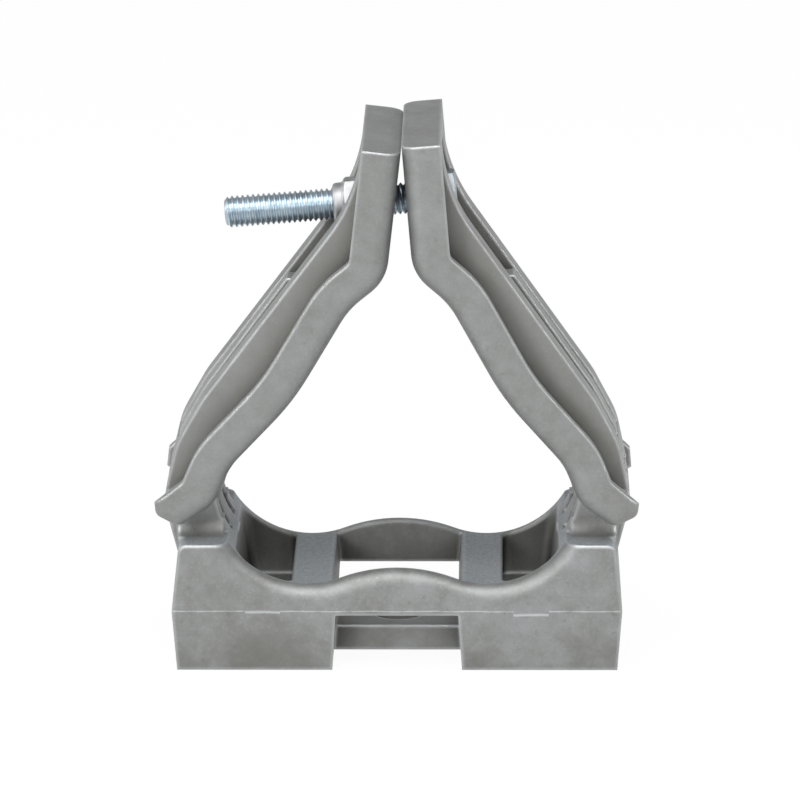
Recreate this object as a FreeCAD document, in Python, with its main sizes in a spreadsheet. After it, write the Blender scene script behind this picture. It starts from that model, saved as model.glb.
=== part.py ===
import FreeCAD, Part
import math
import os

# Trefoil cable cleat in cast aluminium: a saddle base, two hinged arms and a closure bolt.
# Millimetres. X runs across the cleat, Y along the cables, Z up. The feet stand on z = 0.

SIZES = {
    # base casting
    "base_depth": 56.0,
    "foot_reach": 4.6,
    "parting_reach": 6.0,
    "parting_height": 18.7,
    "shoulder_reach": 3.6,
    "shoulder_height": 39.6,
    "shoulder_corner": 2.6,
    "cable_radius": 28.0,
    "cable_spacing": 54.0,
    "saddle_floor": 26.1,
    "hump_height": 31.1,
    "bell_radius": 4.6,
    "wall": 5.6,
    "channel_half_width": 18.5,
    "channel_height": 17.4,
    "channel_draft": 1.2,
    "foot_corner": 1.4,
    "window_half_width": 22.0,
    "saddle_strip": 10.0,
    "pocket_length": 17.2,
    "pocket_draft": 3.4,
    "pocket_corner": 2.5,
    "mouth_round": 0.9,
    "foot_wall": 4.5,
    "foot_roof": 13.5,
    "plate_lift": 1.5,
    "plate_top": 9.3,
    "plate_depth": 28.0,
    "fixing_hole": 17.0,
    "step_length": 10.2,
    "step_height": 1.5,
    "step_reach": 0.5,
    "step_place": 40.5,
    # hinges
    "pivot_half_span": 62.0,
    "pivot_height": 49.0,
    "ear_width": 30.0,
    "ear_radius": 8.5,
    "ear_root": 4.5,
    "leaf_width": 9.0,
    "slot_width": 5.0,
    "slot_floor": 38.2,
    "lug_radius": 8.0,
    "lug_play": 0.2,
    "pin_radius": 3.175,
    "pin_play": 0.05,
    "pin_recess": 0.5,
    "pin_chamfer": 0.6,
    "hinge_gap": 0.9,
    # arm castings, measured from the hinge axis
    "flange_offset": 11.4,
    "tip_rise": 118.4,
    "rim_depth": 11.6,
    "rim_thickness": 3.5,
    "arm_wall": 5.0,
    "tip_wall": 4.0,
    "rib_span": 34.0,
    "bolt_channel": 17.2,
    "middle_rib": 7.0,
    "ear_play": 0.25,
    "rear_trim": 9.6,
    "foot_cut": 3.0,
    "left_lean": 6.6,
    "right_lean": 4.65,
    # closure
    "bolt_rise": 95.8,
    "seat_wall": 8.2,
    "bolt_length": 63.5,
    "thread_diameter": 9.525,
    "thread_depth": 0.75,
    "head_flats": 14.29,
    "head_height": 6.1,
    "nut_height": 8.33,
    "nut_hexagon": 5.0,
    "collar_radius": 6.55,
    "collar_chamfer": 0.9,
    "nut_stand_off": 1.72,
    "bolt_hole": 10.5,
    "slot_rise": 2.2,
    "slot_reach": 3.6,
}

doc = FreeCAD.newDocument("cable_cleat")
sheet = doc.addObject("Spreadsheet::Sheet", "sizes")
for row, (alias, value) in enumerate(SIZES.items(), start=1):
    sheet.set(f"A{row}", alias)
    sheet.set(f"B{row}", str(value))
    sheet.setAlias(f"B{row}", alias)
doc.recompute()


def size(alias):
    return float(sheet.get(alias))


def half_width(reach):
    """Half the base's width somewhere, by how far it reaches past the hinge axis."""
    return size("pivot_half_span") + size(reach)


def flange_inset():
    """From the hinge axis in to the flat face on which the two arms meet."""
    return size("pivot_half_span") - size("flange_offset")


# Outlines in the XZ plane: corners (x, z, radius) joined by straight lines and tangent arcs

def corner_arc(before, corner, after):
    """The two tangent points and the arc that rounds a corner by its radius."""
    here = FreeCAD.Vector(corner[0], corner[1], 0)
    back = (FreeCAD.Vector(before[0], before[1], 0) - here).normalize()
    ahead = (FreeCAD.Vector(after[0], after[1], 0) - here).normalize()
    half = back.getAngle(ahead) / 2
    reach = corner[2] / math.tan(half)
    middle = here + (back + ahead).normalize() * (corner[2] / math.sin(half) - corner[2])
    start, end = here + back * reach, here + ahead * reach
    return start, middle, end


def outline(corners):
    """Closed run of lines and arcs through corners; a radius of 0 keeps a corner sharp."""
    edges = []
    points = []
    for index, corner in enumerate(corners):
        before, after = corners[index - 1], corners[(index + 1) % len(corners)]
        if corner[2] > 0:
            points.append(corner_arc(before, corner, after))
        else:
            here = FreeCAD.Vector(corner[0], corner[1], 0)
            points.append((here, None, here))
    for index, (start, middle, end) in enumerate(points):
        if middle is not None:
            edges.append(Part.Arc(start, middle, end))
        following = points[(index + 1) % len(points)][0]
        if end.distanceToPoint(following) > 1e-6:
            edges.append(Part.LineSegment(end, following))
    return edges


def shifted(path, distance):
    """The path moved to its left by a distance, with each corner's radius kept concentric."""
    lines = []
    for (x0, z0, _), (x1, z1, _) in zip(path, path[1:]):
        length = math.hypot(x1 - x0, z1 - z0)
        ahead = ((x1 - x0) / length, (z1 - z0) / length)
        lines.append((x0 - ahead[1] * distance, z0 + ahead[0] * distance, ahead))
    moved = [(lines[0][0], lines[0][1], 0)]
    for (x0, z0, a), (x1, z1, b), corner in zip(lines, lines[1:], path[1:-1]):
        turn = a[0] * b[1] - a[1] * b[0]
        along = ((x1 - x0) * b[1] - (z1 - z0) * b[0]) / turn
        radius = corner[2] - math.copysign(distance, turn)
        moved.append((x0 + a[0] * along, z0 + a[1] * along, max(radius, 1.0)))
    last = path[-1]
    _, _, ahead = lines[-1]
    moved.append((last[0] - ahead[1] * distance, last[1] + ahead[0] * distance, 0))
    return moved


# Part Design steps, each bound to the sheet by its alias

def new_body(label):
    body = doc.addObject("PartDesign::Body", label)
    body.Label = label
    return body


def sketch(body, edges, plane="XZ_Plane", offset=0):
    drawing = body.newObject("Sketcher::SketchObject", "outline")
    origin = [part for part in body.Origin.OriginFeatures if part.Role == plane][0]
    drawing.AttachmentSupport = [(origin, "")]
    drawing.MapMode = "FlatFace"
    drawing.AttachmentOffset = FreeCAD.Placement(FreeCAD.Vector(0, 0, offset), FreeCAD.Rotation())
    drawing.addGeometry(edges, False)
    return drawing


def extrude(body, kind, edges, width, plane="XZ_Plane", offset=0):
    """Pad or pocket an outline evenly to both sides of its plane, as wide as the sheet says."""
    before = body.Tip.Shape.Volume if body.Tip else 0
    step = body.newObject(f"PartDesign::{kind}", kind)
    step.Profile = sketch(body, edges, plane, offset)
    step.SideType = "Symmetric"
    step.setExpression("Length", width)
    doc.recompute()
    body.Tip = step
    if kind == "Pocket" and not step.Shape.Volume < before:
        raise ValueError(f"{body.Label}: a pocket of width {width} removed nothing")
    return step


def pad(body, edges, width, plane="XZ_Plane"):
    return extrude(body, "Pad", edges, width, plane)


def pocket(body, edges, width, plane="XZ_Plane"):
    return extrude(body, "Pocket", edges, width, plane)


def dress_edges(body, kind, wanted, amount):
    """Fillet or chamfer the tip's edges that pass a test, by an amount bound to the sheet."""
    tip = body.Tip
    names = [f"Edge{n}" for n, edge in enumerate(tip.Shape.Edges, start=1) if wanted(edge)]
    step = body.newObject(f"PartDesign::{kind}", kind)
    step.Base = (tip, names)
    step.setExpression("Radius" if kind == "Fillet" else "Size", amount)
    doc.recompute()
    body.Tip = step
    return step


def circle(x, y, radius):
    return [Part.Circle(FreeCAD.Vector(x, y, 0), FreeCAD.Vector(0, 0, 1), radius)]


def rectangle(x0, y0, x1, y1):
    return outline([(x0, y0, 0), (x1, y0, 0), (x1, y1, 0), (x0, y1, 0)])


def mirrored(corners):
    return [(-x, z, radius) for x, z, radius in reversed(corners)]


def build_base():
    body = new_body("base")
    half_depth = size("base_depth") / 2
    top = size("shoulder_height")
    cable_x = size("cable_spacing") / 2
    cable_z = size("saddle_floor") + size("cable_radius")
    shoulder_x = cable_x + math.sqrt(size("cable_radius") ** 2 - (cable_z - top) ** 2)

    # The hump between the saddles is an arc that meets both cable arcs smoothly
    drop = cable_z - size("hump_height")
    hump_radius = (cable_x ** 2 + drop ** 2 - size("cable_radius") ** 2) / (
        2 * (size("cable_radius") - drop))
    share = hump_radius / (hump_radius + size("cable_radius"))
    join_x = cable_x * share
    join_z = size("hump_height") - hump_radius + (drop + hump_radius) * share

    def vector(x, z):
        return FreeCAD.Vector(x, z, 0)

    foot, parting = half_width("foot_reach"), half_width("parting_reach")
    corner = size("shoulder_corner")
    side = [(shoulder_x, top, 0), (half_width("shoulder_reach"), top, corner),
            (parting, size("parting_height"), 0), (foot, 0, 0)]
    start, middle, end = corner_arc(side[0], side[1], side[2])
    edges = [Part.LineSegment(vector(-foot, 0), vector(foot, 0))]
    for sign in (1, -1):
        def at(point, sign=sign):
            return vector(sign * point[0], point[1])
        run = [Part.LineSegment(vector(sign * foot, 0), vector(sign * parting, size("parting_height"))),
               Part.LineSegment(vector(sign * parting, size("parting_height")), at(end)),
               Part.Arc(at(end), at(middle), at(start)),
               Part.LineSegment(at(start), vector(sign * shoulder_x, top)),
               Part.Arc(vector(sign * shoulder_x, top),
                        vector(sign * cable_x, size("saddle_floor")),
                        vector(sign * join_x, join_z))]
        edges += run
    edges.append(Part.Arc(vector(join_x, join_z), vector(0, size("hump_height")),
                          vector(-join_x, join_z)))
    pad(body, edges, "sizes.base_depth")

    def saddle_lip(edge):
        box = edge.BoundBox
        on_face = abs(abs(box.YMin) - half_depth) < 1e-3 and box.YLength < 1e-3
        return on_face and box.ZMin > size("saddle_floor") - 1e-3 and edge.Curve.TypeId == "Part::GeomCircle" \
            and box.XMax < shoulder_x + 1e-3 and box.XMin > -shoulder_x - 1e-3
    dress_edges(body, "Fillet", saddle_lip, "sizes.bell_radius")

    # Hinge ears, set back from the front and rear walls
    pivot_x, pivot_z = size("pivot_half_span"), size("pivot_height")
    ear = size("ear_radius")
    ear_outlines = {}
    for sign in (1, -1):
        inner = [(cable_x + size("cable_radius") * math.cos(a), cable_z + size("cable_radius") * math.sin(a))
                 for a in (math.radians(-40), math.radians(-24), math.radians(-8.5))]
        crown = (pivot_x, pivot_z + ear)
        outside = (pivot_x + ear, pivot_z)
        root = (half_width("shoulder_reach") + 0.6, pivot_z - 17)
        heel = (inner[0][0] + 6, root[1])
        diagonal = ear * math.sqrt(0.5)
        edges = [Part.Arc(vector(sign * inner[0][0], inner[0][1]), vector(sign * inner[1][0], inner[1][1]),
                          vector(sign * inner[2][0], inner[2][1])),
                 Part.LineSegment(vector(sign * inner[2][0], inner[2][1]),
                                  vector(sign * (pivot_x - diagonal), pivot_z + diagonal)),
                 Part.Arc(vector(sign * (pivot_x - diagonal), pivot_z + diagonal),
                          vector(sign * crown[0], crown[1]), vector(sign * outside[0], outside[1])),
                 Part.LineSegment(vector(sign * outside[0], outside[1]), vector(sign * root[0], root[1])),
                 Part.LineSegment(vector(sign * root[0], root[1]), vector(sign * heel[0], heel[1])),
                 Part.LineSegment(vector(sign * heel[0], heel[1]),
                                  vector(sign * inner[0][0], inner[0][1]))]
        ear_outlines[sign] = edges
        pad(body, edges, "sizes.ear_width")

    # Concave webs that carry the ears down onto the shoulders
    web, root = size("ear_width") / 2, size("ear_root")
    bend = root * (1 - math.sqrt(0.5))
    near_end, far_end = shoulder_x + 1.5, half_width("shoulder_reach") + 0.6
    for sign in (1, -1):
        edges = [Part.LineSegment(vector(-web - root, top - 2), vector(web + root, top - 2)),
                 Part.LineSegment(vector(web + root, top - 2), vector(web + root, top)),
                 Part.Arc(vector(web + root, top), vector(web + bend, top + bend), vector(web, top + root)),
                 Part.LineSegment(vector(web, top + root), vector(-web, top + root)),
                 Part.Arc(vector(-web, top + root), vector(-web - bend, top + bend), vector(-web - root, top)),
                 Part.LineSegment(vector(-web - root, top), vector(-web - root, top - 2))]
        extrude(body, "Pad", edges, str(far_end - near_end), "YZ_Plane",
                sign * (near_end + far_end) / 2)

    # Cable channel under the cleat, and the window above it
    half, tall, draft = size("channel_half_width"), size("channel_height"), size("channel_draft")
    under = outline([(-half - draft, -1, 0), (half + draft, -1, 0), (half, tall, 0), (-half, tall, 0)])
    pocket(body, under, "sizes.base_depth + 2")
    window = size("window_half_width")
    opening = outline([(-half, tall - 1, 0), (half, tall - 1, 0), (half, tall + 1, 0),
                       (window, cable_z, 0), (-window, cable_z, 0), (-half, tall + 1, 0)])
    pocket(body, opening, "sizes.base_depth - 2 * sizes.wall")

    # Pockets outside the saddle strips, down into the hollow feet
    near = window + size("saddle_strip")
    far = near + size("pocket_length")
    for sign in (1, -1):
        well = [(near, size("foot_roof") - 1, 0), (far - size("pocket_draft"), size("foot_roof") - 1, 0),
                (far, top, 0), (far, cable_z, 0), (near, cable_z, 0)]
        hollow = [(half + size("foot_wall") + draft, -1, 0), (foot - size("foot_wall"), -1, 0),
                  (foot - size("foot_wall"), size("foot_roof"), 2), (half + size("foot_wall"), size("foot_roof"), 2)]
        if sign < 0:
            well, hollow = mirrored(well), mirrored(hollow)
        pocket(body, outline(well), "sizes.base_depth - 2 * sizes.wall")
        pocket(body, outline(hollow), "sizes.base_depth - 2 * sizes.foot_wall")

    # Rounded corners down the pockets, then rounded mouths where the openings meet the saddles
    end_wall = half_depth - size("wall")

    def pocket_corner(edge):
        box = edge.BoundBox
        on_end = abs(abs(box.YMin) - end_wall) < 1e-3 and box.YLength < 1e-3
        straight = edge.Curve.TypeId == "Part::GeomLine" and box.ZLength > size("pocket_length") / 2
        outside = max(abs(box.XMin), abs(box.XMax)) > near - 0.1
        return on_end and straight and outside and size("channel_height") / 2 < box.ZMin < box.ZMax < top
    dress_edges(body, "Fillet", pocket_corner, "sizes.pocket_corner")

    def mouth(edge):
        box = edge.BoundBox
        inside = max(abs(box.YMin), abs(box.YMax)) < end_wall + 0.01
        middle = edge.valueAt((edge.FirstParameter + edge.LastParameter) / 2)
        from_cable = math.hypot(abs(middle.x) - cable_x, middle.z - cable_z)
        return inside and abs(from_cable - size("cable_radius")) < 0.01 and abs(middle.x) < far + 0.1
    dress_edges(body, "Fillet", mouth, "sizes.mouth_round")

    # Fixing plate across the channel, with its bolt hole
    reach = half + draft + 1
    pad(body, rectangle(-reach, size("plate_lift"), reach, size("plate_top")), "sizes.plate_depth")
    pocket(body, circle(0, 0, size("fixing_hole") / 2), "2 * sizes.plate_top + 2", "XY_Plane")

    # Slots in the ears for the arms' lugs, and the holes for the hinge pins
    for sign in (1, -1):
        outer = sign * (pivot_x + 2 * ear)
        inner_x = sign * (pivot_x - 2 * ear)
        pocket(body, rectangle(inner_x, size("slot_floor"), outer, pivot_z + 2 * ear),
               "sizes.leaf_width + 2 * sizes.slot_width")
    for sign in (1, -1):
        pad(body, ear_outlines[sign], "sizes.leaf_width")
        pocket(body, circle(sign * pivot_x, pivot_z, size("pin_radius")), "sizes.base_depth")
    return body


# Shares of the flange inset across, and of the tip's rise up, with each corner's radius as a
# share of the rise
CABLE_SIDE = [(-1.0, 1.0, 0), (-1.0, 0.666, 0.119), (-0.802, 0.579, 0.212), (-0.536, 0.322, 0.678),
              (-0.2075, 0.133, 0.170), (-0.136, 0.030, 0.102), (0.060, -0.042, 0)]
RIB_EDGE = [(0.006, 0.278, 0.25), (0.126, 0.157, 0.21)]
RIB_BEND = (0.847, 0.42)
MIDDLE_RIB = (0.83, 0.415, 0.593)


def share_of(corner):
    across, up, radius = corner
    return across * flange_inset(), up * size("tip_rise"), radius * size("tip_rise")


def arm_path():
    """The cable side of an arm, from its tip down to its foot, for the arm on the right."""
    return [share_of(corner) for corner in CABLE_SIDE]


def rib_corners():
    """The outer edge of the ribs, from the tip down to the hinge."""
    line = size("rim_depth") - flange_inset()
    rise = size("tip_rise")
    return [(line, rise - size("tip_wall"), 0), (line, rise * RIB_BEND[0], rise * RIB_BEND[1])] \
        + [share_of(corner) for corner in RIB_EDGE] + [(size("lug_radius") + 0.2, size("lug_radius") / 2, 0)]


def build_arm(label, sign):
    body = new_body(label)

    def draw(corners):
        return outline(corners if sign > 0 else mirrored(corners))

    path = arm_path()
    half_depth = size("base_depth") / 2
    outer = shifted(path, size("rim_depth"))
    heel = size("rim_depth")
    foot = [(path[-1][0], path[-1][1], 0.3 * heel), (0.9 * heel, -0.17 * heel, 0.25 * heel),
            (0.97 * heel, 0.17 * heel, 0)]
    band = path[:-1] + foot + outer[-2::-1]
    pad(body, draw(band), "sizes.base_depth")

    def cable_side(edge):
        box = edge.BoundBox
        if abs(abs(box.YMin) - half_depth) > 1e-3 or box.YLength > 1e-3:
            return False
        for (x0, z0, _), (x1, z1, _) in zip(path, path[1:]):
            middle = edge.valueAt((edge.FirstParameter + edge.LastParameter) / 2)
            across = abs((x1 - x0) * (z0 - middle.z) - (x0 - sign * middle.x) * (z1 - z0))
            near = across / math.hypot(x1 - x0, z1 - z0) < 3.5
            inside = min(z0, z1) - 1 < middle.z < max(z0, z1) + 1
            if near and inside and box.DiagonalLength > 1.0 and middle.z < size("tip_rise") - 1:
                return True
        return False
    dress_edges(body, "Fillet", cable_side, "sizes.bell_radius")

    # Hollow behind the rims, down to the wall on the cable side
    floor = shifted(path, size("arm_wall"))
    far = 2 * size("rim_depth") + size("lug_radius")
    beyond = shifted(path, far)
    under_tip = size("tip_rise") - size("tip_wall")
    (x0, z0, _), (x1, z1, _) = path[-2:]
    run = math.hypot(x1 - x0, z1 - z0)
    along, across = ((x1 - x0) / run, (z1 - z0) / run), (-(z1 - z0) / run, (x1 - x0) / run)

    def by_foot(forward, outward):
        return (x1 + along[0] * forward + across[0] * outward,
                z1 + along[1] * forward + across[1] * outward, 0)
    short = size("foot_cut")
    hollow = [(floor[0][0], under_tip, 0)] + floor[1:-1] + [
        by_foot(-short, size("arm_wall")), by_foot(-short, -short), by_foot(far, -short), by_foot(far, far),
        (beyond[0][0], under_tip, 0)]
    pocket(body, draw(hollow), "sizes.base_depth - 2 * sizes.rim_thickness")

    # Twin ribs with the bolt's channel between them, and a middle rib lower down
    ribs = rib_corners()
    skin = shifted(path, 1.0)
    ribs_area = skin[:-2] + [(skin[-2][0], skin[-2][1], 0)] + ribs[::-1]
    pad(body, draw(ribs_area), "sizes.rib_span")
    channel = [(floor[0][0], under_tip, 0)] + floor[1:-1] + [(far, floor[-2][1], 0), (far, under_tip, 0)]
    pocket(body, draw(channel), "sizes.bolt_channel")
    seat = size("seat_wall") - flange_inset()
    inner, foot_of_seat = -flange_inset() + 1, path[1][1] + path[1][2] / 2
    block = [(inner, under_tip + 1, 0), (inner, foot_of_seat, 0), (seat, foot_of_seat + 2, 0),
             (seat, under_tip + 1, 0)]
    pad(body, draw(block), "sizes.bolt_channel")
    near_x, far_x = -MIDDLE_RIB[0] * flange_inset(), -MIDDLE_RIB[1] * flange_inset()
    low = MIDDLE_RIB[2] * size("tip_rise")
    middle_rib = [(near_x, low, 0)] + skin[2:-2] + [(skin[-2][0], skin[-2][1], 0)] + ribs[:1:-1] \
        + [(far_x, low, 0)]
    pad(body, draw(middle_rib), "sizes.middle_rib")

    # Room for the ear of the base, then the two lugs that enter its slots
    clear = size("ear_radius") + size("hinge_gap")
    room = [(-clear - 6, -clear - 8, 0), (clear + 12, -clear - 8, 0), (clear + 12, 0, 0),
            (clear, 0, 0), (clear, clear, clear - 0.1), (-clear - 6, clear, 0)]
    pocket(body, draw(room), "sizes.ear_width + 2 * sizes.ear_play")
    lug = size("lug_radius")
    lug_area = [(-lug, 0, 0), (-lug - 2.5, 14, 0), (lug - 1.5, 18, 0), (lug, 0, 0),
                (lug, -lug, lug - 0.05), (-lug, -lug, lug - 0.05)]
    pad(body, draw(lug_area), "sizes.leaf_width + 2 * sizes.slot_width - 2 * sizes.lug_play")
    gap = [(-lug - 6, -lug - 1, 0), (lug + 6, -lug - 1, 0), (lug + 6, clear, 0), (-lug - 6, clear, 0)]
    pocket(body, draw(gap), "sizes.leaf_width + 2 * sizes.lug_play")
    pocket(body, circle(0, 0, size("pin_radius") + size("pin_play")), "sizes.base_depth / 1.5")

    # The rear rim's foot ends a little short of the front one's
    trim = size("rear_trim")
    one_sided(body, "Pocket", draw([(trim, -heel, 0), (2 * heel, -heel, 0), (2 * heel, heel / 2, 0),
                                    (trim, heel / 2, 0)]), "sizes.base_depth", plane="XZ_Plane")

    # Bolt hole: round in the right arm, a tall slot in the left one
    hole = size("bolt_hole") / 2
    rise = size("bolt_rise")
    if sign > 0:
        shape = circle(0, rise, hole)
    else:
        low = rise + size("slot_rise") - size("slot_reach") - hole
        high = low + 2 * size("slot_reach") + 2 * hole
        shape = outline([(-hole, low, hole - 0.01), (hole, low, hole - 0.01),
                         (hole, high, hole - 0.01), (-hole, high, hole - 0.01)])
    pocket(body, shape, "4 * sizes.pivot_half_span", "YZ_Plane")

    body.setExpression("Placement.Base.x", f"{sign} * sizes.pivot_half_span")
    body.setExpression("Placement.Base.z", "sizes.pivot_height")
    lean = size("right_lean") if sign > 0 else size("left_lean")
    body.Placement = FreeCAD.Placement(FreeCAD.Vector(sign * size("pivot_half_span"), 0, size("pivot_height")),
                                       FreeCAD.Rotation(FreeCAD.Vector(0, 1, 0), -sign * lean))
    return body


def build_pin(label, sign):
    body = new_body(label)
    pad(body, circle(0, 0, size("pin_radius")), "sizes.ear_width - 2 * sizes.pin_recess")
    dress_edges(body, "Chamfer", lambda edge: edge.BoundBox.YLength < 1e-3, "sizes.pin_chamfer")
    body.Placement.Base = FreeCAD.Vector(sign * size("pivot_half_span"), 0, size("pivot_height"))
    body.setExpression("Placement.Base.x", f"{sign} * sizes.pivot_half_span")
    body.setExpression("Placement.Base.z", "sizes.pivot_height")
    return body


def on_bolt(distance):
    """A point on the bolt's axis, measured outwards from under its head, and its turn."""
    lean = math.radians(size("right_lean"))
    x = size("seat_wall") - flange_inset() - distance
    z = size("bolt_rise")
    place = FreeCAD.Vector(size("pivot_half_span") + x * math.cos(lean) - z * math.sin(lean), 0,
                           size("pivot_height") + x * math.sin(lean) + z * math.cos(lean))
    return FreeCAD.Placement(place, FreeCAD.Rotation(FreeCAD.Vector(0, 1, 0), -size("right_lean") - 90))


def hexagon(flats):
    corner = flats / math.sqrt(3)
    points = [(corner * math.cos(math.radians(a)), corner * math.sin(math.radians(a)), 0)
              for a in range(35, 395, 60)]
    return outline(points)


def one_sided(body, kind, edges, length, reverse=False, plane="XY_Plane"):
    before = body.Tip.Shape.Volume if body.Tip else 0
    step = body.newObject(f"PartDesign::{kind}", kind)
    step.Profile = sketch(body, edges, plane)
    step.setExpression("Length", length)
    step.Reversed = reverse
    doc.recompute()
    body.Tip = step
    if kind == "Pocket" and not step.Shape.Volume < before:
        raise ValueError(f"{body.Label}: a one-sided pocket removed nothing")
    return step


def chamfer_cone(body, low, high, flats, name):
    """Cut the hexagon's corners back at 30 degrees at its ends."""
    corner = flats / math.sqrt(3)
    rim = flats / 2 - 0.15
    slope = math.tan(math.radians(30))
    reach = corner + 2
    for end, way in ((high, 1), (low, -1)):
        if end is None:
            continue
        groove = body.newObject("PartDesign::Groove", name)
        inner = FreeCAD.Vector(rim, end, 0)
        outer = FreeCAD.Vector(reach, end - way * (reach - rim) * slope, 0)
        above = FreeCAD.Vector(reach, end + way * 1.0, 0)
        over = FreeCAD.Vector(rim, end + way * 1.0, 0)
        triangle = [Part.LineSegment(inner, outer), Part.LineSegment(outer, above),
                    Part.LineSegment(above, over), Part.LineSegment(over, inner)]
        drawing = sketch(body, triangle, "XZ_Plane")
        groove.Profile = drawing
        groove.ReferenceAxis = (drawing, ["V_Axis"])
        groove.Angle = 360
        doc.recompute()
        body.Tip = groove


def build_bolt():
    body = new_body("closure_bolt")
    radius = size("thread_diameter") / 2
    one_sided(body, "Pad", circle(0, 0, radius), "sizes.bolt_length")
    dress_edges(body, "Chamfer", lambda edge: edge.BoundBox.ZMin > size("bolt_length") - 1e-3,
                "sizes.thread_depth")
    one_sided(body, "Pad", hexagon(size("head_flats")), "sizes.head_height", True)
    chamfer_cone(body, -size("head_height"), None, size("head_flats"), "HeadChamfer")
    body.Placement = on_bolt(0)
    return body


def nut_distance():
    """How far along the bolt the nut's seat lies, with the nut standing square to the bolt."""
    right, left = math.radians(size("right_lean")), math.radians(size("left_lean"))
    span = size("pivot_half_span")
    seat_x = flange_inset() - size("seat_wall")
    rise = size("bolt_rise")
    left_seat = (-span + seat_x * math.cos(left) + rise * math.sin(left),
                 size("pivot_height") - seat_x * math.sin(left) + rise * math.cos(left))
    start = on_bolt(0).Base
    axis = (-math.cos(right), -math.sin(right))
    normal = (-math.cos(left), math.sin(left))
    gap = (left_seat[0] - start.x) * normal[0] + (left_seat[1] - start.z) * normal[1]
    return gap / (axis[0] * normal[0] + axis[1] * normal[1]) + size("nut_stand_off")


def build_nut():
    body = new_body("closure_nut")
    one_sided(body, "Pad", hexagon(size("head_flats")), "sizes.nut_hexagon")
    chamfer_cone(body, 0, size("nut_hexagon"), size("head_flats"), "NutChamfer")
    one_sided(body, "Pad", circle(0, 0, size("collar_radius")), "sizes.nut_height")
    dress_edges(body, "Chamfer", lambda edge: edge.BoundBox.ZMin > size("nut_height") - 1e-3,
                "sizes.collar_chamfer")
    bore = size("thread_diameter") / 2 + size("pin_play")
    one_sided(body, "Pocket", circle(0, 0, bore), "sizes.nut_height + 2", True)
    body.Placement = on_bolt(nut_distance())
    return body


parts = [build_base(), build_arm("left_arm", -1), build_arm("right_arm", 1),
         build_pin("left_hinge_pin", -1), build_pin("right_hinge_pin", 1),
         build_bolt(), build_nut()]
doc.recompute()
for item in doc.Objects:
    if "Invalid" in item.State or "Error" in item.State:
        raise ValueError(f"{item.Label} ({item.Name}) failed: {item.State}")
os.makedirs("parts", exist_ok=True)
for part in parts:
    shape = part.Shape
    if shape.isNull() or not shape.isValid() or len(shape.Solids) != 1:
        raise ValueError(f"{part.Label}: {len(shape.Solids)} solids, valid {shape.isValid()}")
    shape.exportStep(f"parts/{part.Label}.step")
    box = shape.BoundBox
    print(part.Label, round(shape.Volume), [round(v, 2) for v in
          (box.XMin, box.XMax, box.YMin, box.YMax, box.ZMin, box.ZMax)])
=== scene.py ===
import bmesh
import bpy
import math
import numpy as np
from mathutils import Matrix, Vector


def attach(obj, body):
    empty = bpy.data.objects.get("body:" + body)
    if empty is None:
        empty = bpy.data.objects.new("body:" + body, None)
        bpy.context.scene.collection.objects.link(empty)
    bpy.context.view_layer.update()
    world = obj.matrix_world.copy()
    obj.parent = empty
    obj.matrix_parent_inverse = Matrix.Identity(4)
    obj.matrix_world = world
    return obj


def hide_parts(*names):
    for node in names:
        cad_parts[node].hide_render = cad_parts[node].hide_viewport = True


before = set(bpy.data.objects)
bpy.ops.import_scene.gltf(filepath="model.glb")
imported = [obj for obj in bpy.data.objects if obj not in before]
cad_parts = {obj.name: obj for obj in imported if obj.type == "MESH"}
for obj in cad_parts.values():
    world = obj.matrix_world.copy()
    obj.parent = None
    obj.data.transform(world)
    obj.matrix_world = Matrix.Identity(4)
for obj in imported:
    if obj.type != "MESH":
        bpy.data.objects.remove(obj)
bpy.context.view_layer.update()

MM = 0.001

# Bolt, in mm: a 3/8 inch coarse thread, square to the right arm. Places along it start under its head.
LEAN = math.radians(4.65)
BOLT_START = np.array([11.974, 0.0, 141.05])
BOLT_AXIS = np.array([-math.cos(LEAN), 0.0, -math.sin(LEAN)])
BOLT_UP = np.array([-math.sin(LEAN), 0.0, math.cos(LEAN)])
BOLT_SIDE = np.array([0.0, 1.0, 0.0])
BOLT_LENGTH = 63.5
BOLT_SUNK = 1.0
THREAD_RADIUS = 4.7625
THREAD_DEPTH = 0.72
PITCH = 1.5875
CREST_SHARE = 0.16
FLANK_SHARE = 0.62
NECK_LENGTH = 1.6
NECK_DEPTH = 0.45
END_CHAMFER = 1.15
END_SLOPE = 1.1
END_RISE = 0.05
END_FACE_SHARE = 0.97
SHANK_TURN_STEPS = 64
SHANK_LENGTH_STEPS = 560
SHANK_SHARP_ANGLE = 40

# Hexagons of the bolt's head and the nut, in mm: cones of 30 degrees cut them back past the chamfer radii
HEX_FLATS = 14.29
HEX_TURN = math.radians(35)
HEX_SIDE_STEPS = 24
HEX_CONE = 0.577
HEX_SHARP_ANGLE = 30
HEAD_HEIGHT = 6.1
HEAD_CHAMFER_RADIUS = 6.95
NUT_START = 22.62
NUT_HEIGHT = 8.33
NUT_CHAMFER_RADIUS = 7.0
NUT_SHOULDER_RADIUS = 6.75
BORE_RADIUS = THREAD_RADIUS + 0.1
BORE_CHAMFER = 0.5

# The nut's round collar, in mm: a foot that stands on the hexagon, then a rolled rim
COLLAR_START = 5.0
COLLAR_RADIUS = 6.55
COLLAR_SUNK = 0.4
COLLAR_FOOT_EDGE = 0.25
COLLAR_FOOT_TOP = 0.5
COLLAR_FOOT_CHAMFER = 0.3
COLLAR_STEP = 0.35
COLLAR_ROLL = 1.3
COLLAR_MOUTH = 0.25
COLLAR_MOUTH_TOP = 0.05
COLLAR_MOUTH_DEPTH = 0.4
COLLAR_TURN_STEPS = 96
COLLAR_ROLL_STEPS = 10
COLLAR_SHARP_ANGLE = 30

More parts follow.
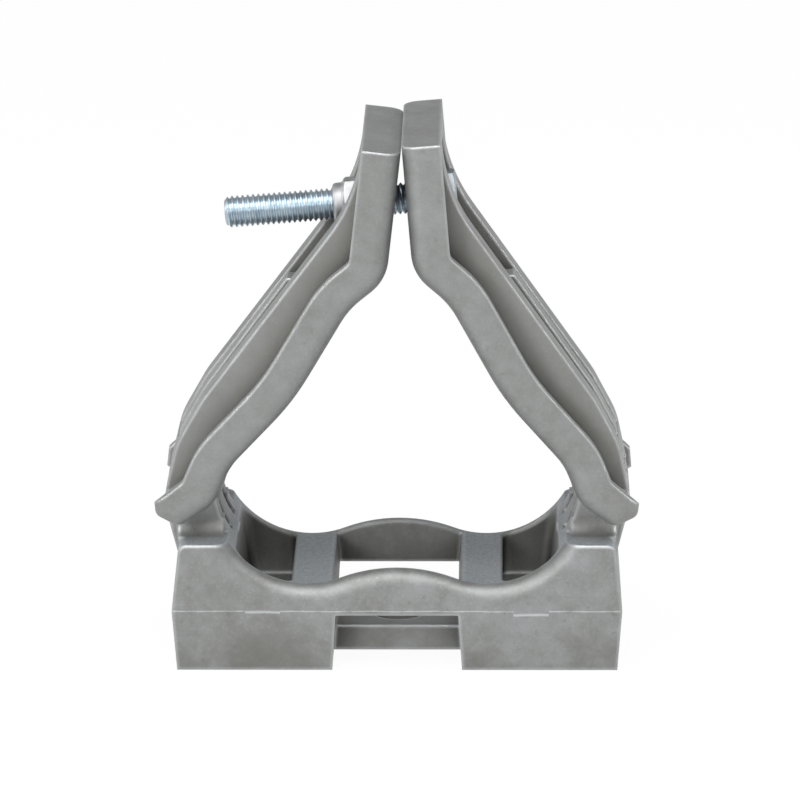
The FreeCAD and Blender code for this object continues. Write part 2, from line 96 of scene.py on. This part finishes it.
# The die's parting line on the base's outer faces, in mm, with two marks where it steps down
PARTING_HEIGHT = 18.7
OUTER_DEPTH = 27.2
OUTER_WIDTH = 65.2
MARK_PLACE = 40.5
MARK_HALF_LENGTH = 5.3
MARK_DROP = 0.3
RIGHT_MARK_EXTRA_DROP = 0.8
PARTING_WANDER = 0.9
SEAM_SHARPNESS = 3.4
MARK_SHARPNESS = 1.7

# Edges of the castings, the reach of the painted shade in recesses, and the height of the darkening near the
# ground, in mm
ARM_ROUNDING = 1.4
BASE_ROUNDING = 1.9
PLATED_ROUNDING = 0.25
RECESS_REACH = 34
GROUND_DARKENING_HEIGHT = 20

# Tones of the castings; the saddle sheen, the recess tones and the edge tone are painted light and shade,
# the edge tone with some wear
SKIN_DARK = (0.225, 0.228, 0.217, 1)
SKIN_MIDDLE = (0.275, 0.281, 0.276, 1)
SKIN_LIGHT = (0.325, 0.336, 0.340, 1)
SKIN_EVEN = (0.283, 0.289, 0.285, 1)
SPOT = (0.15, 0.15, 0.14, 1)
GRAIN = (0.42, 0.43, 0.43, 1)
PAINTED_SADDLE_SHEEN = (0.40, 0.44, 0.475, 1)
GROUND_DARKENING = (0.16, 0.16, 0.145, 1)
RECESS_PAINTED_LIGHT_AND_SHADE = (0.325, 0.320, 0.298, 1)
DEEP_RECESS_PAINTED_SHADE = (0.035, 0.034, 0.031, 1)
EDGE_HIGHLIGHT_AND_WEAR = (0.68, 0.70, 0.71, 1)

# Studio, in metres and watts
FLOOR_REACH = 6.0
FLOOR_LEVEL = -0.0001
FLOOR_TONE = (0.86, 0.86, 0.86, 1)
FLOOR_WHITE_SHARE = 0.95
WHITE = (1, 1, 1, 1)
SKY_STRENGTH = 0.38
LAMP_AIM = (0.0, 0.0, 0.08)

# Camera: place and sensor in mm, angles in degrees, focal length and picture in pixels, farthest sight in m
CAMERA_PLACE = (29.463, -1592.133, 573.668)
CAMERA_PITCH = 17.3283
CAMERA_YAW = -1.0313
CAMERA_ROLL = -0.3028
FOCAL_PIXELS = 5499.1
PICTURE_PIXELS = 800
SENSOR_WIDTH = 36
SEEN_UP_TO = 20


class Signal:
    """A shader socket, on which arithmetic is written as expressions."""

    def __init__(self, tree, socket):
        self.tree = tree
        self.socket = socket

    def node(self, kind, settings=None, inputs=None, output=0):
        """Any node: its settings first, then the values or links of its sockets."""
        made = self.tree.nodes.new(kind)
        for key, value in (settings or {}).items():
            if key == "stops":
                ramp = made.color_ramp
                while len(ramp.elements) < len(value):
                    ramp.elements.new(0.5)
                for element, (place, shade) in zip(ramp.elements, value):
                    element.position = place
                    element.color = (shade, shade, shade, 1) if isinstance(shade, float) else shade
            else:
                setattr(made, key, value)
        for key, value in (inputs or {}).items():
            if isinstance(value, Signal):
                self.tree.links.new(value.socket, made.inputs[key])
            else:
                made.inputs[key].default_value = value
        return Signal(self.tree, made.outputs[output])

    def math(self, operation, *values):
        return self.node("ShaderNodeMath", {"operation": operation}, dict(enumerate(values)))

    def __add__(self, other):
        return self.math("ADD", self, other)

    def __sub__(self, other):
        return self.math("SUBTRACT", self, other)

    def __mul__(self, other):
        return self.math("MULTIPLY", self, other)

    def __rsub__(self, other):
        return self.math("SUBTRACT", other, self)

    __radd__ = __add__
    __rmul__ = __mul__

    def __abs__(self):
        return self.math("ABSOLUTE", self)

    def __gt__(self, other):
        return self.math("GREATER_THAN", self, other)

    def __lt__(self, other):
        return self.math("LESS_THAN", self, other)

    def clamp(self, low=0.0, high=1.0):
        return self.math("MAXIMUM", self.math("MINIMUM", self, high), low)

    def split(self):
        """The x, y and z of a vector."""
        split = self.node("ShaderNodeSeparateXYZ", {}, {0: self})
        return [Signal(self.tree, output) for output in split.socket.node.outputs]

    def ramp(self, *stops):
        return self.node("ShaderNodeValToRGB", {"stops": stops}, {"Fac": self})

    def noise(self, scale, detail=4.0, roughness=0.55):
        return self.node("ShaderNodeTexNoise", {}, {
            "Vector": self, "Scale": scale, "Detail": detail, "Roughness": roughness})

    def mix(self, other, factor):
        """This colour, changed to the other where factor is 1."""
        return self.node("ShaderNodeMix", {"data_type": "RGBA"}, {0: factor, 6: self, 7: other}, 2)

    def bump(self, normal, strength, distance):
        """A normal raised by this height."""
        return self.node("ShaderNodeBump", {}, {
            "Strength": strength, "Distance": distance, "Height": self, "Normal": normal})


def finish_material(name):
    """A new material, its shader node, and its object coordinates in metres."""
    material = bpy.data.materials.new(name)
    material.use_nodes = True
    tree = material.node_tree
    shader = tree.nodes["Principled BSDF"]
    place = tree.nodes.new("ShaderNodeTexCoord")
    return material, shader, Signal(tree, place.outputs["Object"])


def connect(signal, socket):
    signal.tree.links.new(signal.socket, socket)


def true_normal(place):
    return place.node("ShaderNodeNewGeometry", output=1)


def edge_mask(place, radius):
    """A normal rounded over this radius, and a mask that is bright where it leaves the true normal."""
    rounded = place.node("ShaderNodeBevel", {"samples": 6}, {"Radius": radius})
    agree = place.node("ShaderNodeVectorMath", {"operation": "DOT_PRODUCT"},
                       {0: rounded, 1: true_normal(place)}, 1)
    return rounded, 1 - agree


def parting_line(place, flow):
    """The die's joint on the outer faces: a fine raised line, and everywhere below it.

    The line's height is level, drops by a step inside the two marks, and wanders with the flow of the metal.
    The seam is 1 on the line and falls evenly with the distance from it.
    """
    side, depth, up = place.split()
    outside = place.math("MAXIMUM", abs(depth) > OUTER_DEPTH * MM, abs(side) > OUTER_WIDTH * MM)
    in_mark = abs(abs(side) - MARK_PLACE * MM) < MARK_HALF_LENGTH * MM
    drop = MARK_DROP * MM + (side > 0.0) * (RIGHT_MARK_EXTRA_DROP * MM)
    height = PARTING_HEIGHT * MM - in_mark * drop
    wander = flow * (PARTING_WANDER * MM) - PARTING_WANDER * MM / 2
    away = abs(up + wander - height)
    seam = (1 - away * (SEAM_SHARPNESS / MM - in_mark * (MARK_SHARPNESS / MM))).clamp() * outside
    below = (up < height) * outside
    return seam, in_mark, below


def cast_aluminium(name, rounding, calm, is_base=False):
    """Blasted die casting: matt grey with cloudy stains and fine grain, painted light and shade in recesses,
    and bright edges that are painted highlight with some wear.

    rounding is how far edges look rounded, in mm, and calm from 0 to 1 takes the stains back. The base also
    has the die's parting line with a painted highlight on its seam, a painted bluish sheen on its upward
    saddle, feet that turn darker towards the ground, and painted shade on its inner walls.
    """
    material, shader, place = finish_material(name)
    rounded, edge_highlight_and_wear = edge_mask(place, rounding * MM)
    cloud = place.noise(34.0, 5.0, 0.62)
    flow = place.noise(120.0, 6.0, 0.68)
    fine = place.noise(1100.0, 3.0, 0.6)
    spots = place.noise(420.0, 2.0, 0.5).ramp((0.66, 0.0), (0.74, 1.0))
    patches = place.noise(260.0, 4.0, 0.6)
    tone = (cloud * 0.4 + flow * 0.3 + patches * 0.3).ramp(
        (0.38, SKIN_DARK), (0.5, SKIN_MIDDLE), (0.62, SKIN_LIGHT))
    tone = tone.mix(SPOT, spots * 0.3)
    tone = tone.mix(GRAIN, fine.ramp((0.54, 0.0), (0.70, 1.0)) * 0.3)
    tone = tone.mix(SKIN_EVEN, calm)
    # Bright edges: where the rounded normal leaves the true one, a painted highlight with some wear.
    bright = (edge_highlight_and_wear * 6.0).clamp() * (0.6 + flow * 0.7).clamp()
    height = fine * 0.5 + place.noise(2600.0, 2.0) * 0.3 + flow * 0.4
    if is_base:
        seam, in_mark, below = parting_line(place, flow)
        # The parting line's raised seam gets the same painted highlight.
        bright = (bright + seam * (patches * 3.0 - 0.75 + in_mark * 0.3).clamp(0.15, 0.9)).clamp()
        height = height + seam * 1.8 + below * 0.6
        _, fore, facing = true_normal(place).split()
        # Painted sheen: upward-facing saddle surfaces turn a lighter bluish, as the overhead light and white
        # surround would show them.
        saddle = (1 - abs(fore) * 7.0).clamp() * facing.ramp((0.3, 0.0), (0.5, 1.0))
        tone = tone.mix(PAINTED_SADDLE_SHEEN, saddle * (0.45 + fine.ramp((0.42, 0.0), (0.62, 0.55))))
        # Darker towards the ground, in cloudy patches.
        near_ground = (1 - place.split()[2] * (1 / (GROUND_DARKENING_HEIGHT * MM))).clamp()
        tone = tone.mix(GROUND_DARKENING, near_ground * cloud.ramp((0.38, 0.85), (0.62, 0.2)))
        # Inner walls, which take extra painted shade below.
        inner_wall_shade = 1 - abs(facing).ramp((0.3, 0.0), (0.6, 1.0))
    # Painted light and shade from occlusion: half-closed recesses turn a warm grey, deep ones nearly black,
    # and on the base the inner walls darker.
    openness = place.node("ShaderNodeAmbientOcclusion", {"samples": 5, "only_local": True},
                          {"Distance": RECESS_REACH * MM}, 1)
    tone = tone.mix(RECESS_PAINTED_LIGHT_AND_SHADE, openness.ramp((0.5, 0.75), (0.9, 0.0)))
    tone = tone.mix(DEEP_RECESS_PAINTED_SHADE, openness.ramp((0.2, 0.95), (0.44, 0.0)))
    if is_base:
        tone = tone.mix(DEEP_RECESS_PAINTED_SHADE, openness.ramp((0.35, 0.95), (0.8, 0.0)) * inner_wall_shade)
    # The painted edge highlight, with some wear, goes over everything.
    tone = tone.mix(EDGE_HIGHLIGHT_AND_WEAR, bright * 0.72)
    connect(tone, shader.inputs["Base Color"])
    shader.inputs["Metallic"].default_value = 0.8
    connect((0.50 + flow * 0.14) - bright * 0.16, shader.inputs["Roughness"])
    connect(height.bump(rounded, strength=0.22, distance=0.25 * MM), shader.inputs["Normal"])
    return material


def zinc_plating(name, base, light, rough):
    """Zinc or drawn steel: bare metal clouded between two tones, with edges lighter by a painted highlight
    with some wear.
    """
    material, shader, place = finish_material(name)
    rounded, edge_highlight_and_wear = edge_mask(place, PLATED_ROUNDING * MM)
    cloud = place.noise(260.0)
    # Edges lighter: a painted highlight with some wear.
    edge_highlight_and_wear_tone = (*(1.3 * part for part in light[:3]), 1)
    tone = cloud.ramp((0.35, base), (0.65, light)).mix(edge_highlight_and_wear_tone, (edge_highlight_and_wear * 2.0).clamp() * 0.5)
    connect(tone, shader.inputs["Base Color"])
    shader.inputs["Metallic"].default_value = 1.0
    connect(rough + cloud * 0.12, shader.inputs["Roughness"])
    connect(place.noise(1500.0).bump(rounded, strength=0.08, distance=0.1 * MM), shader.inputs["Normal"])
    return material


def surface(name, grid, sharp_angle):
    """A closed mesh from a grid of points in mm, whose rows are rings about the bolt.

    Quads join each point to its neighbours on its own ring and the next. Doubled points at poles and seams
    are merged, faces are turned outwards, and shading is smooth up to the sharp angle in degrees.
    """
    rows, columns = grid.shape[:2]
    row = np.arange(rows - 1)[:, None] * columns
    column = np.arange(columns)[None, :]
    beside = (column + 1) % columns
    faces = np.stack([row + column, row + beside, row + columns + beside, row + columns + column], axis=-1)
    mesh = bpy.data.meshes.new(name)
    mesh.from_pydata((grid.reshape(-1, 3) * MM).tolist(), [], faces.reshape(-1, 4).tolist())
    mesh.validate()
    work = bmesh.new()
    work.from_mesh(mesh)
    bmesh.ops.remove_doubles(work, verts=work.verts, dist=1e-7)
    bmesh.ops.recalc_face_normals(work, faces=work.faces)
    work.to_mesh(mesh)
    work.free()
    mesh.shade_smooth()
    mesh.set_sharp_from_angle(angle=math.radians(sharp_angle))
    made = bpy.data.objects.new(name, mesh)
    bpy.context.scene.collection.objects.link(made)
    return made


def about_bolt(radius, turn, along):
    """Points about the bolt: its start + radius cos(turn) up + radius sin(turn) aside + along its axis."""
    height, side = radius * np.cos(turn), radius * np.sin(turn)
    return (BOLT_START + height[..., None] * BOLT_UP + side[..., None] * BOLT_SIDE
            + along[..., None] * BOLT_AXIS)


def thread_radius(turn, along):
    """Radius of a screw surface: the crest's, less the thread's depth times the way down the flank.

    The phase is along / pitch - turn / full turn, modulo 1, so one turn moves the thread on by one pitch.
    A half is the middle of a flat crest, 0 and 1 are the middle of a flat root, and straight flanks join
    them.
    """
    phase = np.mod(along / PITCH - turn / (2 * math.pi), 1.0)
    from_crest = np.abs(2 * phase - 1)
    return THREAD_RADIUS - THREAD_DEPTH * np.clip((from_crest - CREST_SHARE) / FLANK_SHARE, 0, 1)


def threaded_shank():
    """A cylinder on a grid of angle and length, whose radius follows the thread.

    Near the head the radius is at most the neck's, and near the end at most a cone's, which is the chamfer.
    """
    turn = np.linspace(0, 2 * math.pi, SHANK_TURN_STEPS, endpoint=False)[None, :]
    along = np.linspace(-BOLT_SUNK, BOLT_LENGTH, SHANK_LENGTH_STEPS)[:, None]
    radius = thread_radius(turn, along)
    radius = np.where(along < NECK_LENGTH, np.minimum(radius, THREAD_RADIUS - NECK_DEPTH), radius)
    radius = np.minimum(radius, THREAD_RADIUS - END_CHAMFER + (BOLT_LENGTH - along) * END_SLOPE)
    end_face = along[-1:] + END_RISE
    radius = np.concatenate([0 * radius[:1], radius, radius[-1:] * END_FACE_SHARE, 0 * radius[-1:]])
    along = np.concatenate([along[:1], along, end_face, end_face]) + 0 * turn
    return surface("threaded_shank", about_bolt(radius, turn, along), SHANK_SHARP_ANGLE)


def hex_block(name, start, height, low_chamfer, high_chamfer, bore=0.0):
    """A hexagon on rings from one end to the other, with its corners cut back by a cone at each end.

    The side's distance is flats / 2 / cos(angle from the middle of the side), and the cones start at the two
    chamfer radii. A bore, where there is one, has a chamfered mouth at the low end.
    """
    turn = (np.arange(6 * HEX_SIDE_STEPS) / HEX_SIDE_STEPS * math.pi / 3 + HEX_TURN)[None, :]
    from_middle = np.mod(turn - HEX_TURN, math.pi / 3) - math.pi / 6
    side = HEX_FLATS / 2 / np.cos(from_middle)

    def cut_back(chamfer):
        return np.clip((side - chamfer) * HEX_CONE, 0, None)

    mouth = [(bore, BORE_CHAMFER), (bore + BORE_CHAMFER, 0.0)] if bore else [(0.0, 0.0)]
    far_end = [(bore, height), (bore, BORE_CHAMFER)] if bore else [(0.0, height)]
    rings = [*mouth,
             (low_chamfer, 0.0), (np.maximum(side, low_chamfer), cut_back(low_chamfer)),
             (np.maximum(side, high_chamfer), height - cut_back(high_chamfer)), (high_chamfer, height),
             *far_end]
    radius, along = (np.concatenate([value + 0 * turn for value in values]) for values in zip(*rings))
    return surface(name, about_bolt(radius, turn, start + along), HEX_SHARP_ANGLE)


def lock_collar(name, start, height):
    """The nut's round collar: a ring profile turned about the bolt, with a rolled outer rim.

    The rim is a quarter circle: its radius falls by the roll times 1 - cos, and its height rises by the roll
    times sin.
    """
    turn = np.linspace(0, 2 * math.pi, COLLAR_TURN_STEPS, endpoint=False)[None, :]
    roll = np.linspace(0, math.pi / 2, COLLAR_ROLL_STEPS)
    rim_radius = COLLAR_RADIUS - COLLAR_STEP - COLLAR_ROLL * (1 - np.cos(roll))
    rim_height = height - COLLAR_ROLL + COLLAR_ROLL * np.sin(roll)
    profile = [(BORE_RADIUS, -COLLAR_SUNK), (COLLAR_RADIUS, -COLLAR_SUNK), (COLLAR_RADIUS, COLLAR_FOOT_EDGE),
               (COLLAR_RADIUS - COLLAR_FOOT_CHAMFER, COLLAR_FOOT_TOP), *zip(rim_radius, rim_height),
               (BORE_RADIUS + COLLAR_MOUTH, height - COLLAR_MOUTH_TOP),
               (BORE_RADIUS, height - COLLAR_MOUTH_DEPTH), (BORE_RADIUS, -COLLAR_SUNK)]
    radius, along = (np.array(values)[:, None] + 0 * turn for values in zip(*profile))
    return surface(name, about_bolt(radius, turn, start + along), COLLAR_SHARP_ANGLE)


def dress(piece, material):
    """Gives a piece one finish, in place of any it had."""
    piece.data.materials.clear()
    piece.data.materials.append(material)


aluminium = cast_aluminium("cast aluminium", ARM_ROUNDING, 0.3)
base_aluminium = cast_aluminium("cast aluminium with parting line", BASE_ROUNDING, 0.0, is_base=True)
zinc = zinc_plating("zinc plating", (0.41, 0.49, 0.55, 1), (0.56, 0.65, 0.71, 1), 0.28)
# The bolt head's plating is a darker copy of the zinc: painted shade.
head_zinc_painted_shade = zinc_plating("shaded zinc plating", (0.26, 0.29, 0.31, 1), (0.38, 0.42, 0.45, 1), 0.42)
nut_zinc = zinc_plating("bright zinc plating", (0.33, 0.335, 0.34, 1), (0.47, 0.475, 0.48, 1), 0.46)
pin_steel = zinc_plating("drawn steel", (0.36, 0.36, 0.36, 1), (0.46, 0.46, 0.45, 1), 0.32)

dress(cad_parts["base"], base_aluminium)
for node in ("left_arm", "right_arm"):
    dress(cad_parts[node], aluminium)
for node in ("left_hinge_pin", "right_hinge_pin"):
    dress(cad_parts[node], pin_steel)

shank = threaded_shank()
dress(shank, zinc)
head = hex_block("bolt_head", -HEAD_HEIGHT, HEAD_HEIGHT, HEAD_CHAMFER_RADIUS, HEAD_CHAMFER_RADIUS)
dress(head, head_zinc_painted_shade)
for piece in (shank, head):
    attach(piece, "right_arm")
    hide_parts("closure_bolt")

nut = hex_block("lock_nut", NUT_START, COLLAR_START, NUT_CHAMFER_RADIUS, NUT_SHOULDER_RADIUS, BORE_RADIUS)
collar = lock_collar("lock_nut_collar", NUT_START + COLLAR_START, NUT_HEIGHT - COLLAR_START)
for piece in (nut, collar):
    dress(piece, nut_zinc)
    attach(piece, "nut")
    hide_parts("closure_nut")


# Studio: a pale floor, soft lamps above, beside and in front, and the camera a little above the cleat

def stage_floor():
    """A wide floor, white to the camera and in reflections, that keeps the cleat's shadow faintly."""
    mesh = bpy.data.meshes.new("studio_floor")
    corners = ((-1, -1), (1, -1), (1, 1), (-1, 1))
    mesh.from_pydata([(x * FLOOR_REACH, y * FLOOR_REACH, FLOOR_LEVEL) for x, y in corners],
                     [], [(0, 1, 2, 3)])
    made = bpy.data.objects.new("studio_floor", mesh)
    bpy.context.scene.collection.objects.link(made)
    material, shader, place = finish_material("pale floor")
    shader.inputs["Base Color"].default_value = FLOOR_TONE
    shader.inputs["Roughness"].default_value = 0.9
    rays = place.node("ShaderNodeLightPath").socket.node.outputs
    camera, glossy, transmission = (Signal(place.tree, rays[f"Is {kind} Ray"])
                                    for kind in ("Camera", "Glossy", "Transmission"))
    seen = (camera + glossy + transmission).clamp()
    lit = Signal(place.tree, shader.outputs[0])
    white = place.node("ShaderNodeEmission", {}, {"Color": WHITE, "Strength": 1.0})
    shown = place.node("ShaderNodeMixShader", {}, {0: seen * FLOOR_WHITE_SHARE, 1: lit, 2: white})
    connect(shown, place.tree.nodes["Material Output"].inputs["Surface"])
    dress(made, material)


def lamp(name, place, width, height, energy):
    """A rectangular softbox turned to the cleat: its place and size in metres, its energy in watts."""
    data = bpy.data.lights.new(name, "AREA")
    data.shape = "RECTANGLE"
    data.size, data.size_y = width, height
    data.energy = energy
    made = bpy.data.objects.new(name, data)
    bpy.context.scene.collection.objects.link(made)
    made.location = place
    made.rotation_euler = (Vector(LAMP_AIM) - Vector(place)).to_track_quat("-Z", "Y").to_euler()


def studio_sky():
    """An even white surround that lights the cleat softly."""
    world = bpy.data.worlds.new("studio")
    bpy.context.scene.world = world
    world.use_nodes = True
    background = world.node_tree.nodes["Background"]
    background.inputs["Color"].default_value = WHITE
    background.inputs["Strength"].default_value = SKY_STRENGTH


def place_camera():
    """The camera: its forward direction from pitch and yaw, then its right and up turned by the roll."""
    pitch, yaw, roll = (math.radians(angle) for angle in (CAMERA_PITCH, CAMERA_YAW, CAMERA_ROLL))
    forward = Vector((math.sin(yaw) * math.cos(pitch), math.cos(yaw) * math.cos(pitch), -math.sin(pitch)))
    level = Vector((math.cos(yaw), -math.sin(yaw), 0))
    upward = level.cross(forward)
    right = level * math.cos(roll) + upward * math.sin(roll)
    up = upward * math.cos(roll) - level * math.sin(roll)
    data = bpy.data.cameras.new("camera")
    data.sensor_width = SENSOR_WIDTH
    data.lens = SENSOR_WIDTH * FOCAL_PIXELS / PICTURE_PIXELS
    data.clip_end = SEEN_UP_TO
    made = bpy.data.objects.new("camera", data)
    bpy.context.scene.collection.objects.link(made)
    made.matrix_world = (Matrix.Translation(Vector(CAMERA_PLACE) * MM)
                         @ Matrix((right, up, -forward)).transposed().to_4x4())
    bpy.context.scene.camera = made


stage_floor()
lamp("overhead softbox", (0.0, -0.60, 1.25), 1.6, 0.6, 18.0)
lamp("left softbox", (-1.2, 0.1, 0.7), 0.5, 0.9, 7.0)
lamp("right softbox", (1.2, 0.1, 0.6), 0.5, 0.9, 8.0)
lamp("front fill", (-1.2, -2.0, 0.95), 0.7, 0.6, 23.0)
studio_sky()
place_camera()
bpy.context.scene.view_settings.view_transform = "Standard"
